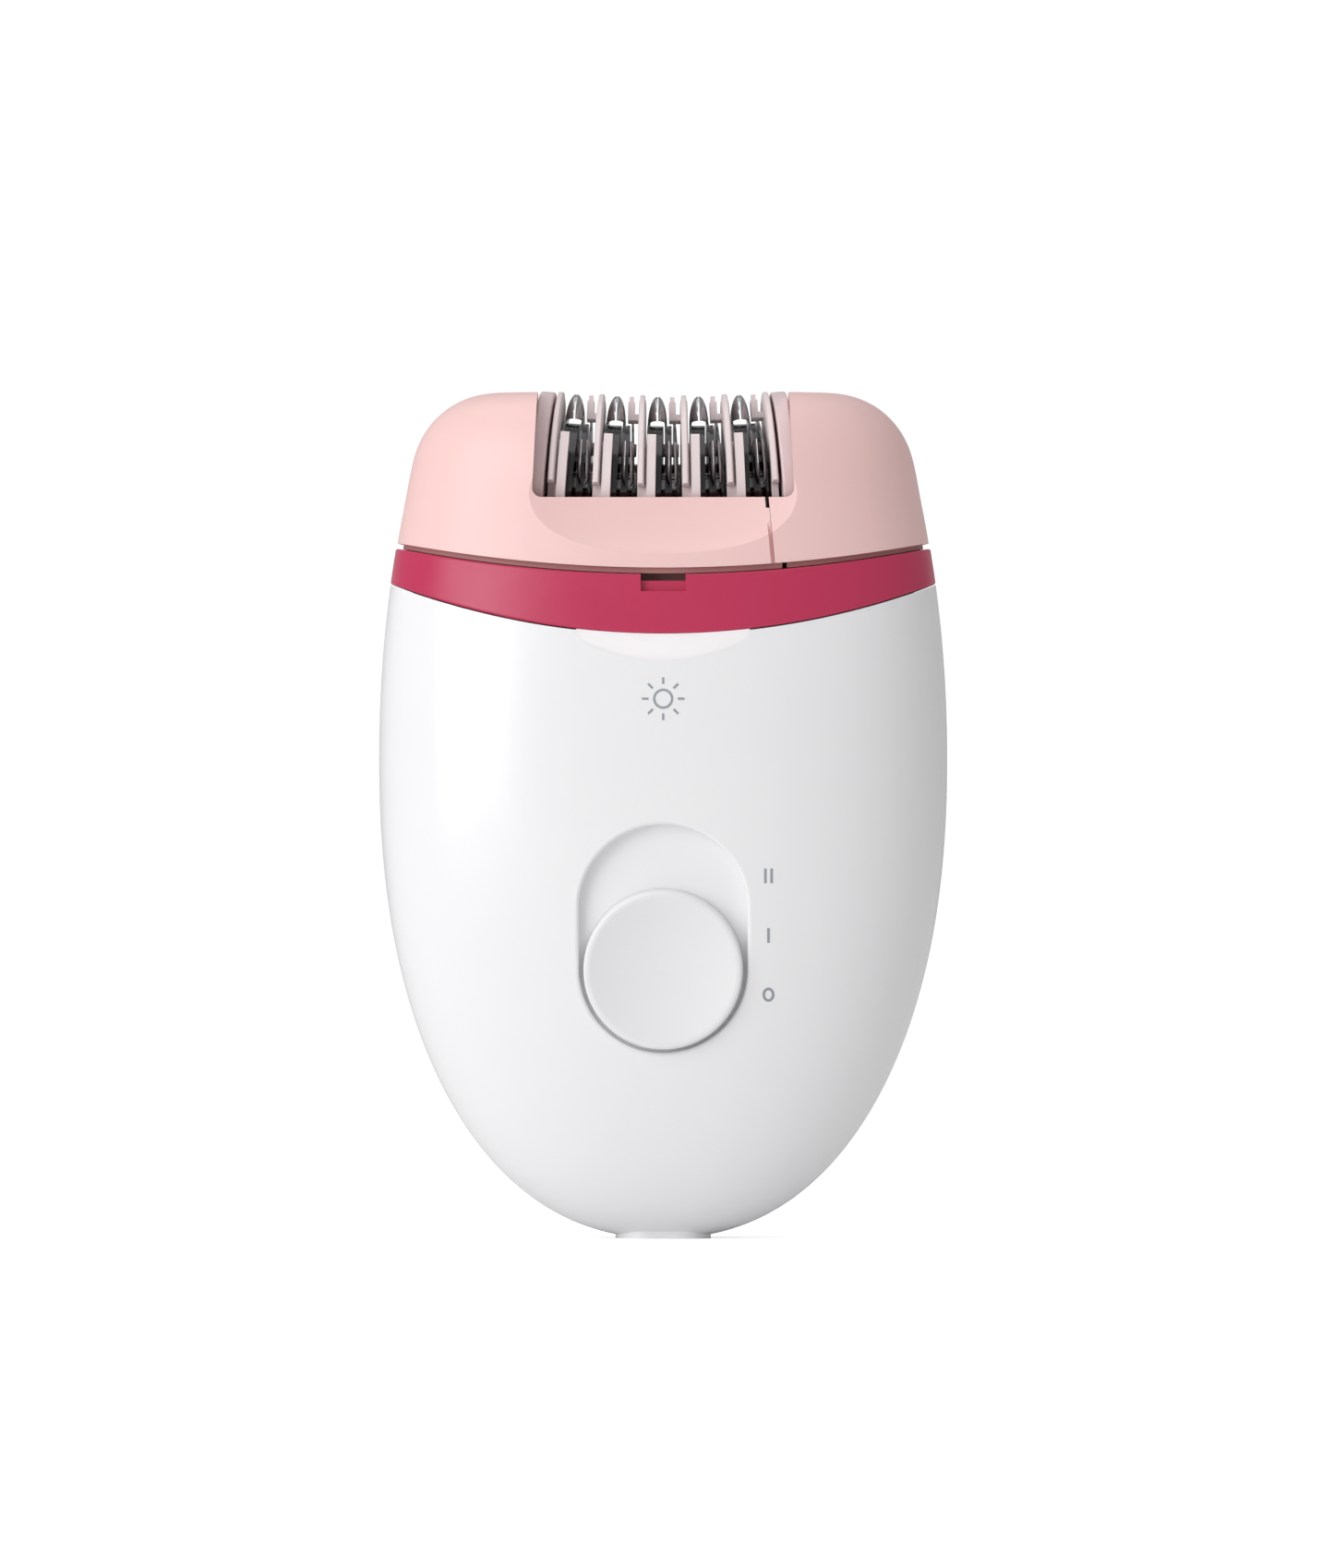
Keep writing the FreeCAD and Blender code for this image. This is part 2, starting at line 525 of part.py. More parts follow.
def release_parts():
    """The rear release button, flush with the shell, with its latch arm, and the leaf spring behind it."""
    shell = BODY_OUTER.cut(BODY_INNER)
    pad = shell.common(release_opening(0.0)).common(BACK_SIDE)
    stem = box((-5, 5), (14.9, 19.8), (71, 75))
    arm = box((-3.4, 3.4), (10.6, 12.0), (73, LATCH_Z + 1.2))
    foot = box((-3.4, 3.4), (10.6, 16.5), (73, 74.6))
    hook = box((-2.4, 2.4), (11.5, 15.4), (LATCH_Z, LATCH_Z + 1.2))
    button = fuse([pad, stem.common(BODY_OUTER), arm, foot, hook])
    bow, thick = 7.5, 0.25
    middle = V(0, 14.8 - bow, 70.7)
    leaf = Part.makeCylinder(bow, 2.0, middle).cut(Part.makeCylinder(bow - thick, 2.0, middle))
    return button, leaf.common(box((-6, 6), (13.05, 15), (70, 73)))


# ---- head ----
def slab(shift, width, y=(-40, 40)):
    """A thin upright slab through the slit between cap and cover, moved sideways by shift."""
    (x1, z1), (x2, z2) = SPLIT
    dx, dz = (x2 - x1) / (z1 - z2), 1.0
    top, low = V(x1 - dx * 30 + shift, y[0], z1 + 30), V(x2 + dx * 10 + shift, y[0], z2 - 10)
    wire = Part.makePolygon([top, top + V(width, 0, 0), low + V(width, 0, 0), low, top])
    return Part.Face(wire).extrude(V(0, y[1] - y[0], 0))


def window_tool():
    """The window through the cap: narrower at the top, deep at the front, less deep at the back."""
    tools = []
    lean = (WINDOW_HALF - WINDOW_TOP_HALF) / (HEIGHT - LIP_FRONT_Z)
    for (y0, y1), z in (((-30, 0.5), LIP_FRONT_Z), ((-0.5, 30), LIP_BACK_Z)):
        low, high = WINDOW_HALF - lean * (z - LIP_FRONT_Z), WINDOW_TOP_HALF - lean * 15
        corners = [V(-low, y0, z), V(low, y0, z), V(high, y0, HEIGHT + 15), V(-high, y0, HEIGHT + 15)]
        cut = Part.Face(Part.makePolygon(corners + [corners[0]])).extrude(V(0, y1 - y0, 0))
        edges = [e for e in cut.Edges if abs(e.CenterOfMass.z - z) < 0.01 and abs(e.CenterOfMass.x) > 10]
        tools.append(cut.makeFillet(LIP_CORNER, edges))
    return tools[0].fuse(tools[1]).removeSplitter()


def drum_room(side):
    """The space an end drum turns in, tilted like the drum."""
    tool = rod(ROTOR_ROOM, (-4, DRUM[2] / 2 + 0.35), 0, 0)
    if side < 0:
        tool = tool.mirror(V(0, 0, 0), V(1, 0, 0))
    return on_axle(tool, side * DRUM[0], side * DRUM[1])


def cap_parts():
    """The cap with its window, scoop and inner walls, slit into the main cap and the gear cover."""
    outer = loft(cap_levels(), cap_size)
    inner = loft(cap_levels(CAP_WALL), lambda z, inset: cap_size(z, inset), CAP_WALL)
    foot = above(CAP_LINE)
    skin = outer.cut(inner)
    wall = WINDOW_HALF + 1.2
    blocks = [box((-wall, wall), (-30, -7), (88.4, LIP_FRONT_Z + 3)),
              box((-wall, wall), (7, 30), (88.4, LIP_BACK_Z + 3)),
              box((-wall, 1 - WINDOW_TOP_HALF), (-30, 30), (93.0, 125)),
              box((WINDOW_TOP_HALF - 1, wall), (-30, 30), (93.0, 125))]
    bosses = [Part.makeCylinder(2.5, 30, V(s * HEAD_SCREW_X, HEAD_SCREW_Y, FLOOR_Z[1])) for s in (-1, 1)]
    room = rod(ROTOR_ROOM, (-WINDOW_HALF - 3, WINDOW_HALF + 3), 0, ROTOR_Z + 0.4)
    inside = fuse(blocks + bosses).cut(room.common(box((-WINDOW_HALF, WINDOW_HALF), (-40, 40), (0, 200))))
    inside = inside.cut(window_tool())
    for side in (-1, 1):
        ends = sorted((side * 15.0, side * (wall + 1)))
        inside = inside.cut(drum_room(side))
        inside = inside.cut(box(ends, (GEAR_Y - 4.8, GEAR_Y + 4.8), (80, DRIVE_Z + 4.6)))
        inside = inside.cut(Part.makeCylinder(1.1, 11, V(side * HEAD_SCREW_X, HEAD_SCREW_Y, 80)))
    shape = skin.common(foot).cut(window_tool()).fuse(inside.common(outer)).cut(scoop())
    cap = biggest(shape.common(slab(-SPLIT_WIDTH / 2 - 90, 90)))
    cover = biggest(shape.common(slab(SPLIT_WIDTH / 2, 60)))
    deep = loft(cap_levels(TONGUE_DEPTH), cap_size, TONGUE_DEPTH).common(box((-40, 40), (-40, 0), (80, TONGUE_TOP)))
    tongue = shape.common(slab(-SPLIT_WIDTH / 2 - 0.5, SPLIT_WIDTH + 0.45)).common(deep)
    return biggest(cap.fuse(tongue)), cover


def biggest(shape):
    """Drops crumbs that a cut leaves behind."""
    return max(shape.Solids, key=lambda s: s.Volume)


def scoop():
    """The dished hollow under the front lip: half an ellipse across the front."""
    ball = Part.makeSphere(1.0)
    matrix = FreeCAD.Matrix()
    matrix.scale(26.0, 5.2, 9.6)
    ball = ball.transformGeometry(matrix)
    ball.translate(V(0, -18.3, 98.0))
    return ball


def plug_size(z, inset=0.0):
    """The plug is straight, the size of the opening's top, so that the head lifts straight out."""
    return body_size(PLUG_TOP, inset)


def head_frame():
    """The head's base: plug, floor and neck flange, with the plates that hold both axles."""
    plug_outer = loft(PLUG_LEVELS, plug_size, 2.25)
    plug_inner = loft(PLUG_LEVELS, plug_size, 3.75)
    flange = loft(egg_levels(1.0, 95), lambda z, inset: body_size(z, inset), 1.0)
    foot = above(CAP_LINE)
    lip = flange.common(above((COLLAR_LINE[0] + 0.12, COLLAR_LINE[1] + 0.12, COLLAR_LINE[2])))
    frame = plug_outer.common(box((-60, 60), (-60, 60), (PLUG_Z, 94))).fuse(lip).cut(foot)
    for low, high in ((PLUG_Z - 1, FLOOR_Z[0]), (FLOOR_Z[1], 96)):
        frame = frame.cut(plug_inner.common(box((-60, 60), (-60, 60), (low, high))))
    for name, x in PLATES.items():
        bottom = FLOOR_Z[0] if name == "left" else PLUG_Z
        plate = box(x, (GEAR_Y - 5.0, GEAR_Y + 5.0), (FLOOR_Z[0] + 0.2, DRIVE_Z))
        plate = plate.fuse(rod(5.0, x, GEAR_Y, DRIVE_Z))
        frame = frame.fuse(plate)
        if bottom < FLOOR_Z[0]:
            frame = frame.fuse(box(x, (GEAR_Y - 3.2, GEAR_Y + 3.2), (bottom, FLOOR_Z[0] + 0.5)))
    slot = box((PLATES["inner"][1], PLATES["outer"][0]), (GEAR_Y - 7.0, GEAR_Y + 7.0), (80, FLOOR_Z[1] + 3))
    frame = frame.cut(slot)
    frame = frame.cut(rod(STUB_RADIUS, (-20, -18), GEAR_Y, DRIVE_Z)).cut(rod(4.15, (18, 19.9), GEAR_Y, DRIVE_Z))
    frame = frame.cut(rod(STUB_RADIUS, (22, 25), GEAR_Y, DRIVE_Z)).cut(rod(1.2, (18, 25), GEAR_Y, IDLER_Z))
    for s in (-1, 1):
        frame = frame.cut(Part.makeCylinder(1.3, 6, V(s * HEAD_SCREW_X, HEAD_SCREW_Y, 81)))
    frame = frame.cut(box((15.4, 16.0), (-30, -9), (COLLAR_LINE[0] - 0.2, 89.5)))
    frame = frame.cut(box((-3.2, 3.2), (-20, -12), (83.0, COLLAR_LINE[0] + 0.1)))
    frame = frame.fuse(box((-4.2, 4.2), (-12.8, -11.8), (FLOOR_Z[0] + 0.5, 88.2)))
    frame = frame.cut(box((24.0, 27.2), (GEAR_Y - 4.3, GEAR_Y + 4.3), (80, FLOOR_Z[1] + 1)))
    return frame.cut(box((-3.8, 3.8), (9, 20), (80, LATCH_Z + 1.8)))


def axle_point(s):
    """Centre line of the bent axle at distance s from mid width."""
    a = s / BEND_RADIUS
    return V(BEND_RADIUS * math.sin(a), 0, ROTOR_Z) + CLOSE * (BEND_RADIUS * (1 - math.cos(a)))


def on_axle(shape, s, tilt):
    """Moves a part built about the X axis to its place on the bent axle."""
    shape = shape.copy()
    turn = FreeCAD.Rotation(V(1, 0, 0).cross(CLOSE), tilt)
    shape.Placement = FreeCAD.Placement(axle_point(s), turn).multiply(shape.Placement)
    return shape


def bent_axle():
    """One steel rod: an arc between the drums and a straight stub at each end."""
    start = axle_point(-BEND_END)
    angle = math.degrees(BEND_END / BEND_RADIUS)
    across = V(1, 0, 0).cross(CLOSE)
    tangent = FreeCAD.Rotation(across, -angle).multVec(V(1, 0, 0))
    face = Part.Face(Part.Wire([Part.makeCircle(AXLE_RADIUS, start, tangent)]))
    centre = V(0, 0, ROTOR_Z) + CLOSE * BEND_RADIUS
    bend = face.revolve(centre, across, 2 * angle)
    if abs(bend.BoundBox.XMax + start.x) > 1.0:
        bend = face.revolve(centre, across, -2 * angle)
    end = -start.x - 0.3
    return fuse([bend, rod(STUB_RADIUS, (end, PLATES["outer"][1] + 0.4), GEAR_Y, DRIVE_Z),
                 rod(STUB_RADIUS, (PLATES["left"][0] - 0.4, -end), GEAR_Y, DRIVE_Z)])


def ray(radius, angle, x=0.0):
    """A point at an angle from the front over the top."""
    a = math.radians(angle)
    return V(x, -radius * math.cos(a), radius * math.sin(a))


def prism(points, x=(-6, 6)):
    """A prism along X over (radius, angle) corners."""
    ring = [ray(r, a, x[0]) for r, a in points]
    return Part.Face(Part.makePolygon(ring + [ring[0]])).extrude(V(x[1] - x[0], 0, 0))


def egg_bar(half_x, lead, height, tail):
    """An ellipsoid run into an elliptic bar towards +Y."""
    stretch = FreeCAD.Matrix()
    stretch.scale(half_x, lead, height)
    ball = Part.makeSphere(1.0).transformGeometry(stretch)
    stretch = FreeCAD.Matrix()
    stretch.scale(half_x, 1.0, height)
    bar = Part.makeCylinder(1.0, tail, V(0, 0, 0), V(0, 1, 0)).transformGeometry(stretch)
    return ball.fuse(bar)


def blades(side, reach, rows):
    """Spoon-shaped blades that curve over from the disc to the plane where they meet their partners."""
    lead, tail, start = 2.4, 2.6, -0.5
    height = BLADE_TIP - BLADE_FOOT
    sheet = 0.35
    near = box((-reach - 1, -PINCH_GAP / 2), (-9, tail), (-0.1, 9))
    spoon = egg_bar(reach + STEEL / 2, lead, height, tail).common(near)
    spoon = spoon.cut(egg_bar(reach - STEEL / 2, lead - sheet, height - sheet, tail + 1))
    spoon.translate(V(reach, start, BLADE_FOOT))
    neck = box((-STEEL / 2, STEEL / 2), (start - 1.0, start + tail), (7.6, BLADE_FOOT + 0.5))
    spoon = spoon.fuse(neck)
    if side < 0:
        spoon = spoon.mirror(V(0, 0, 0), V(1, 0, 0))
    placed = []
    for row in rows:
        blade = spoon.copy()
        blade.rotate(V(0, 0, 0), V(1, 0, 0), 90 - row)
        placed.append(blade)
    return placed


def steel_disc(left_rows, left_reach, right_rows, right_reach):
    """A stamped steel disc: plain middle, four holes for the drive pins, blades bent to either side."""
    parts = [rod(BASE_RADIUS, (-STEEL / 2, STEEL / 2), 0, 0)]
    if right_rows:
        parts.append(rod(HUB_RADIUS, (0, 2 * right_reach - HUB_SHORT), 0, 0))
    if left_rows:
        parts += blades(-1, left_reach, left_rows)
    if right_rows:
        parts += blades(1, right_reach, right_rows)
    disc = fuse(parts).cut(rod(BORE_RADIUS, (-3, 3), 0, 0))
    for angle in PIN_ANGLES:
        p = ray(5.4, angle)
        disc = disc.cut(rod(1.3, (-3, 3), p.y, p.z))
    return disc


PIN_ANGLES = [BLADE_ROW + 45 + 90 * i for i in range(4)]
FRONT_ROWS = (BLADE_ROW, BLADE_ROW + 180)
TOP_ROWS = (BLADE_ROW + 80, BLADE_ROW + 260)


def reach_between(first, second):
    """How far two neighbouring blades each reach over so that they meet at the closing angle."""
    apart = second[0] - first[0]
    closing = BLADE_TIP * math.sin(math.radians(second[1] - first[1]))
    return (apart - closing) / 2


def divider(with_ribs, with_pins, pins_out):
    """A plastic disc between two sets of blades, with a thin crown, ribs to its right and pegs to its left."""
    half, crown = 0.45, 0.32
    outline = [(-half, BORE_RADIUS), (-half, 11.3), (-crown, 11.6), (-crown, DIVIDER_TIP - 0.1),
               (-crown + 0.1, DIVIDER_TIP), (crown - 0.1, DIVIDER_TIP), (crown, DIVIDER_TIP - 0.1),
               (crown, 11.6),
               (half, 11.3), (half, BORE_RADIUS), (-half, BORE_RADIUS)]
    face = Part.Face(Part.makePolygon([V(x, 0, r) for x, r in outline]))
    full = face.revolve(V(0, 0, 0), V(1, 0, 0), 360)
    parts = [full.common(rod(9.2, (-1, 1), 0, 0)), rod(3.1, (-0.68, 0.5), 0, 0, BORE_RADIUS)]
    for turn in (0, 180):
        fan = [(8.6, turn), (11.0, turn), (13.5, 4 + turn)]
        fan += [(13.5, a + turn) for a in (20, 40, 60, 80, 100, 116)]
        fan += [(8.6, 122 + turn)] + [(8.6, a + turn) for a in (100, 80, 60, 40, 20)]
        parts.append(full.common(prism(fan)))
    for row in FRONT_ROWS if with_ribs else ():
        low, high = row - 29, row + 17
        arc = [low + (high - low) * i / 4 for i in range(5)]
        sector = [(8.2, a) for a in arc] + [(13, a) for a in reversed(arc)]
        parts.append(rod(11.6, (0.75, 1.9), 0, 0, 8.8).common(prism(sector)))
        parts.append(rod(9.7, (0.4, 0.8), 0, 0, 8.8).common(prism(sector)))
    for row in TOP_ROWS if with_pins else ():
        sector = [(8.2, row - 9), (13, row - 7), (13, row + 7), (8.2, row + 9)]
        tip = [(8.2, row - 3), (13, row - 2), (13, row + 2), (8.2, row + 3)]
        parts.append(rod(11.2, (-1.9, -1.0), 0, 0, 8.8).common(prism(sector)))
        parts.append(rod(12.0, (-1.75, -1.15), 0, 0, 8.8).common(prism(tip)))
        parts.append(rod(9.6, (-1.1, -0.4), 0, 0, 8.8).common(prism(sector)))
    for angle in PIN_ANGLES if pins_out else ():
        p = ray(5.4, angle)
        parts.append(rod(0.85, (0.4, DISC_PITCH - 0.8), p.y, p.z))
    return fuse(parts)


def drum(side):
    """An end drum: a broad rim round a cup that opens outwards; the right one is driven by the gear."""
    half = DRUM[2] / 2
    shape = rod(DRUM_TIP, (-half, half), 0, 0)
    rims = [e for e in shape.Edges if e.Closed]
    shape = shape.makeFillet(0.3, rims)
    shape = shape.cut(rod(DRUM_TIP - 1.2, (-half + 0.8, half + 1), 0, 0))
    shape = fuse([shape, rod(3.6, (-half + 0.5, half - 0.2), 0, 0)]).cut(rod(BORE_RADIUS, (-4, 4), 0, 0))
    for i in range(8):
        p = ray(7.6, 45 * i)
        shape = shape.cut(rod(1.5, (-2, 2), p.y, p.z))
    return shape if side > 0 else shape.mirror(V(0, 0, 0), V(1, 0, 0))


def rotor():
    """All discs in place, from the left end to the right."""
    near = reach_between(LEFT_STEEL, MID_STEEL)
    far = reach_between(MID_STEEL, RIGHT_STEEL)
    print("  blades reach over by", round(near, 3), "and", round(far, 3))
    kinds = [("a", LEFT_STEEL, steel_disc(None, 0, TOP_ROWS, near)),
             ("b", MID_STEEL, steel_disc(TOP_ROWS, near, FRONT_ROWS, far)),
             ("c", RIGHT_STEEL, steel_disc(FRONT_ROWS, far, None, 0))]
    placed = {}
    for k in range(UNITS + 1):
        s, tilt = (k - UNITS / 2) * DISC_PITCH, (k - UNITS / 2) * DIVIDER_TILT
        shape = divider(k < UNITS, k > 0, k < UNITS)
        placed[f"divider_{k}"] = on_axle(shape, s, tilt)
        for letter, (after, extra), disc in kinds if k < UNITS else ():
            placed[f"tweezer_{k}{letter}"] = on_axle(disc, s + after, tilt + extra)
    for name, side in (("drum_left", -1), ("drum_right", 1)):
        placed[name] = on_axle(drum(side), side * DRUM[0], side * DRUM[1])
    return placed


def main():
    front_shell, rear_shell = shells()
    keep("front_shell", front_shell)
    keep("rear_shell", rear_shell)
    keep("collar_band", collar())
    keep("well_deck", deck())
    keep("light_window", light_window())
    lamp, lamp_board = light_parts()
    keep("light_led", lamp)
    keep("led_board", lamp_board)
    socket, pins = socket_parts()
    keep("socket_housing", socket)
    keep("socket_pins", pins)
    keep("chassis", chassis())
    can, magnets, end_cap, armature = motor_parts()
    keep("motor_can", can)
    keep("motor_magnets", magnets)
    keep("motor_end_cap", end_cap)
    keep("armature", armature)
    pinion, compound, idler, drive = gears()
    keep("motor_pinion", pinion)
    keep("compound_gear", compound)
    keep("compound_gear_axle", rod(1.2, (16.8, 29.0), GEAR_Y, COMPOUND_Z))
    keep("head_idler_gear", idler)
    keep("idler_axle", rod(1.2, (18.3, 24.2), GEAR_Y, IDLER_Z))
    keep("drive_gear", drive)
    board, block = board_parts()
    keep("control_board", board)
    keep("switch_block", block)
    knob, carrier = switch_parts()
    keep("switch_knob", knob)
    keep("switch_carrier", carrier)
    button, spring = release_parts()
    keep("release_button", button)
    keep("release_spring", spring)
    keep("deck_screws", Part.makeCompound([screw(V(x, y, DECK_Z[1]), (0, 0, -1), 5.5) for x, y in DECK_SCREWS]))
    keep("chassis_screws", Part.makeCompound([screw(V(x, 13.0, z), (0, 1, 0), 5.0) for x, z in CHASSIS_SCREWS]))
    head_screws = [screw(V(s * HEAD_SCREW_X, HEAD_SCREW_Y, FLOOR_Z[0]), (0, 0, 1), 5.0, head=1.4, thick=0.9)
                   for s in (-1, 1)]
    keep("head_screws", Part.makeCompound(head_screws))
    cap, cover = cap_parts()
    keep("head_cap", cap)
    keep("head_gear_cover", cover)
    keep("head_frame", head_frame())
    keep("curved_axle", bent_axle())
    for name, shape in rotor().items():
        keep(name, shape)


main()
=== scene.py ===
import math
import bmesh
import bpy
import numpy as np
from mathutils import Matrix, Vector


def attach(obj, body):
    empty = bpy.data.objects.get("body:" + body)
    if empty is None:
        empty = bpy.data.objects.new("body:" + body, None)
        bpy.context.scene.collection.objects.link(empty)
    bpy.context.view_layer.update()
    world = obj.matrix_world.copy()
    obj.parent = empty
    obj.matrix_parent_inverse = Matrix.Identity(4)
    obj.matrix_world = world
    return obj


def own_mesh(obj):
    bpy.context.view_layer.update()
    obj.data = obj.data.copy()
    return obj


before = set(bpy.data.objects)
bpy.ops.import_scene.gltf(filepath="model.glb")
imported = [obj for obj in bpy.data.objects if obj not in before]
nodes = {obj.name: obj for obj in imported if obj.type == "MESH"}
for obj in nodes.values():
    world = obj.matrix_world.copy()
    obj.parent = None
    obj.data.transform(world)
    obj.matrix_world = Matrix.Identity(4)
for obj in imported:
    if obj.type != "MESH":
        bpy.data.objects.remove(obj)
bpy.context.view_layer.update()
mm = 0.001
print("frame loaded:", len(nodes), "nodes")


# ---- small helpers for colours and nodes ----

def linear(hexColour, alpha=1.0):
    # sRGB hex to linear: c/12.92 below 0.04045, otherwise ((c + 0.055) / 1.055) ^ 2.4
    parts = [int(hexColour[i:i + 2], 16) / 255 for i in (1, 3, 5)]
    return tuple(c / 12.92 if c <= 0.04045 else ((c + 0.055) / 1.055) ** 2.4 for c in parts) + (alpha,)


def addNode(tree, kind, links=None, values=None, **settings):
    # adds one node: settings are its properties, values its unlinked sockets, links its linked ones
    node = tree.nodes.new(kind)
    for name, value in settings.items():
        setattr(node, name, value)
    for socket, value in (values or {}).items():
        node.inputs[socket].default_value = value
    for socket, source in (links or {}).items():
        tree.links.new(source, node.inputs[socket])
    return node


def newMaterial(name):
    material = bpy.data.materials.new(name)
    material.use_nodes = True
    tree = material.node_tree
    tree.nodes.clear()
    shader = tree.nodes.new("ShaderNodeBsdfPrincipled")
    output = tree.nodes.new("ShaderNodeOutputMaterial")
    tree.links.new(shader.outputs["BSDF"], output.inputs["Surface"])
    return material, tree, shader


def setInputs(shader, values):
    for socket, value in values.items():
        shader.inputs[socket].default_value = value


def objectPlace(tree):
    return addNode(tree, "ShaderNodeTexCoord").outputs["Object"]


def noise(tree, place, sizeMm, detail, roughness=0.5):
    # 0 to 1 cloud whose largest blobs are about sizeMm across
    return addNode(tree, "ShaderNodeTexNoise", {"Vector": place},
                   {"Scale": 1 / (sizeMm * mm), "Detail": detail, "Roughness": roughness}).outputs["Fac"]


# the colour sockets of a mix node share their names with others, so they are found by number
mixSocket = dict(factor=0, first=6, second=7, result=2)


def mixColours(tree, share, first, second):
    # first where the share is 0 and second where it is 1; second may be a socket
    mix = addNode(tree, "ShaderNodeMix", {mixSocket["factor"]: share},
                  {mixSocket["first"]: linear(first)}, data_type="RGBA")
    if isinstance(second, str):
        mix.inputs[mixSocket["second"]].default_value = linear(second)
    else:
        tree.links.new(second, mix.inputs[mixSocket["second"]])
    return mix.outputs[mixSocket["result"]]


def roughen(tree, shader, cloud, low, high):
    # spreads the middle of a cloud, where most of it lies, from the low roughness to the high
    spread = addNode(tree, "ShaderNodeMapRange", {"Value": cloud},
                     {"From Min": 0.3, "From Max": 0.7, "To Min": low, "To Max": high})
    tree.links.new(spread.outputs["Result"], shader.inputs["Roughness"])


def emboss(tree, shader, height, strength, depthMm):
    bump = addNode(tree, "ShaderNodeBump", {"Height": height}, {"Strength": strength, "Distance": depthMm * mm})
    tree.links.new(bump.outputs["Normal"], shader.inputs["Normal"])


# ---- moulded plastics ----

def mouldedPlastic(name, look):
    # injection moulded plastic: even colour with a faint cloud of flow marks, a spark-eroded or polished
    # skin whose grain is a real size, and a roughness that drifts where hands and cloths have been
    material, tree, shader = newMaterial(name)
    place = objectPlace(tree)
    flow = noise(tree, place, look["flowMm"], 3.0, 0.55)
    tree.links.new(mixColours(tree, flow, look["colour"], look["deepColour"]), shader.inputs["Base Color"])
    smudge = noise(tree, place, look["smudgeMm"], 5.0, 0.6)
    roughen(tree, shader, smudge, look["rough"] - look["roughDrift"], look["rough"] + look["roughDrift"])
    grain = noise(tree, place, look["grainMm"], 2.0)
    emboss(tree, shader, grain, look["grainStrength"], look["grainDepthMm"])
    setInputs(shader, {"IOR": 1.53, "Coat Weight": look.get("coat", 0.0), "Coat Roughness": 0.1})
    if look.get("soft"):
        setInputs(shader, {"Subsurface Weight": look["soft"], "Subsurface Radius": (1.0, 0.85, 0.8),
                           "Subsurface Scale": 0.8 * mm})
    return material


plasticLooks = {
    "polishedWhiteAbs": dict(colour="#F7F7F8", deepColour="#F3F3F5", flowMm=40, smudgeMm=9, rough=0.24,
                             roughDrift=0.03, grainMm=0.6, grainStrength=0.08, grainDepthMm=0.01, coat=0.15),
    "satinPinkAbs": dict(colour="#F8D2CF", deepColour="#F5CBC8", flowMm=30, smudgeMm=7, rough=0.42,
                         roughDrift=0.04, grainMm=0.16, grainStrength=0.3, grainDepthMm=0.012),
    "satinMagentaAbs": dict(colour="#C6325B", deepColour="#BD2B54", flowMm=30, smudgeMm=6, rough=0.34,
                            roughDrift=0.04, grainMm=0.18, grainStrength=0.2, grainDepthMm=0.01),
    # painted shade: the head frame is the cap's pink made darker, for the shade where it sits recessed under
    # the cap
    "shadedCapPinkAbs": dict(colour="#B98583", deepColour="#AA7775", flowMm=20, smudgeMm=6, rough=0.5,
                         roughDrift=0.05, grainMm=0.2, grainStrength=0.3, grainDepthMm=0.012),
    "paleRotorPom": dict(colour="#F0E3E3", deepColour="#E9D9DA", flowMm=8, smudgeMm=2.5, rough=0.36,
                         roughDrift=0.05, grainMm=0.14, grainStrength=0.2, grainDepthMm=0.008, soft=0.15),
    "drumPinkPom": dict(colour="#E4D1D2", deepColour="#DBC6C8", flowMm=8, smudgeMm=2.5, rough=0.4,
                        roughDrift=0.05, grainMm=0.14, grainStrength=0.2, grainDepthMm=0.008, soft=0.1),
    "satinWhiteKnobAbs": dict(colour="#F2F2F3", deepColour="#EDEDEF", flowMm=20, smudgeMm=5, rough=0.38,
                              roughDrift=0.04, grainMm=0.14, grainStrength=0.3, grainDepthMm=0.01),
    "greyGlassFilledNylon": dict(colour="#8C8C90", deepColour="#7F7F84", flowMm=12, smudgeMm=4, rough=0.55,
                                 roughDrift=0.06, grainMm=0.3, grainStrength=0.4, grainDepthMm=0.015),
    "blackPbt": dict(colour="#232326", deepColour="#1B1B1E", flowMm=10, smudgeMm=4, rough=0.45,
                     roughDrift=0.06, grainMm=0.25, grainStrength=0.3, grainDepthMm=0.012),
    "acetalGearPom": dict(colour="#EDEBE2", deepColour="#E2DFD3", flowMm=6, smudgeMm=3, rough=0.35,
                          roughDrift=0.05, grainMm=0.2, grainStrength=0.2, grainDepthMm=0.008, soft=0.15),
    "greenFr4Board": dict(colour="#1F5A34", deepColour="#194B2B", flowMm=5, smudgeMm=3, rough=0.4,
                          roughDrift=0.08, grainMm=0.4, grainStrength=0.4, grainDepthMm=0.02),
    "darkFerrite": dict(colour="#3A3A3E", deepColour="#2E2E32", flowMm=5, smudgeMm=3, rough=0.6,
                        roughDrift=0.06, grainMm=0.25, grainStrength=0.5, grainDepthMm=0.02),
}
plastics = {name: mouldedPlastic(name, look) for name, look in plasticLooks.items()}
print("plastics made:", len(plastics))


# ---- metals ----

def awayFromAxle(tree, place, look):
    # 0 at the hub's rim and 1 where the blades start, by distance from the line that the discs turn about
    centred = addNode(tree, "ShaderNodeMapping", {"Vector": place},
                      {"Location": (0, 0, -look["axleZ"] * mm), "Scale": (0, 1, 1)})
    distance = addNode(tree, "ShaderNodeVectorMath", {0: centred.outputs["Vector"]}, operation="LENGTH")
    return addNode(tree, "ShaderNodeMapRange", {"Value": distance.outputs["Value"]},
                   {"From Min": look["hubMm"] * mm, "From Max": look["bladeMm"] * mm}).outputs["Result"]


